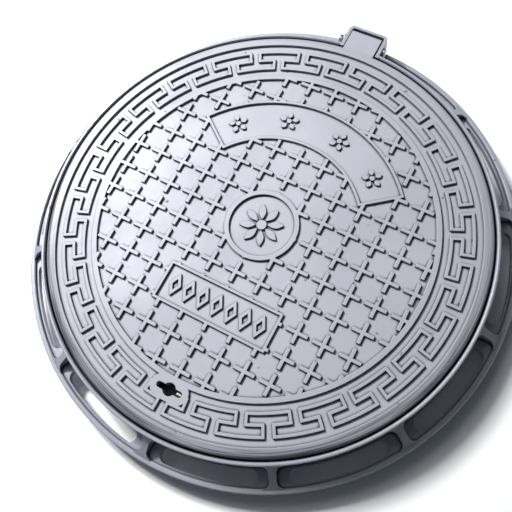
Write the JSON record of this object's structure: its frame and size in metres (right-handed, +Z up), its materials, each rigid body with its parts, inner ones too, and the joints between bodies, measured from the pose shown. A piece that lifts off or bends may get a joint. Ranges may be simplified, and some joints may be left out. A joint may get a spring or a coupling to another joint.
{
  "type": "manhole cover",
  "caption": "Round hinged manhole cover in a flanged frame, with cast tread, winding border and quarter-turn lock",
  "frame": {"origin": "centre of the base plane the frame wall stands on, on the axis of the round opening", "axes": "+Z up through the lid, +Y towards the hinge pocket, -Y towards the key hole, X along the hinge pin"},
  "size_m": [0.7919, 0.792, 0.08],
  "materials": {
    "lid_iron": "satin",
    "frame_iron": "satin",
    "lock_iron": "matte",
    "black_rubber": "matte",
    "zinc_steel": "satin"
  },
  "bodies": {
    "frame": {"frame_casting": "frame_iron", "seat_gasket": "black_rubber", "hinge_pin": "zinc_steel", "hinge_washer": "zinc_steel", "hinge_split_pin": "zinc_steel"},
    "lid": {"lid_casting": "lid_iron", "lock_housing": "lock_iron", "housing_screws": "zinc_steel", "housing_spring_washers": "zinc_steel", "lock_stop_pin": "zinc_steel", "lock_friction_washer": "zinc_steel"},
    "lock": {"lock_hub": "lock_iron", "hub_seal": "black_rubber", "key_drive_pin": "zinc_steel", "lock_arm": "zinc_steel", "arm_washer": "zinc_steel", "arm_screw": "zinc_steel"}
  },
  "joints": [
    {"name": "lid_hinge", "type": "hinge", "parent": "frame", "child": "lid", "pos_m": [0, 0.3705, 0.067], "axis": [-1, 0, 0], "range_deg": [0, 110]},
    {"name": "lock_turn", "type": "hinge", "parent": "lid", "child": "lock", "pos_m": [0, -0.286, 0.05], "axis": [0, 0, -1], "range_deg": [0, 90]}
  ]
}
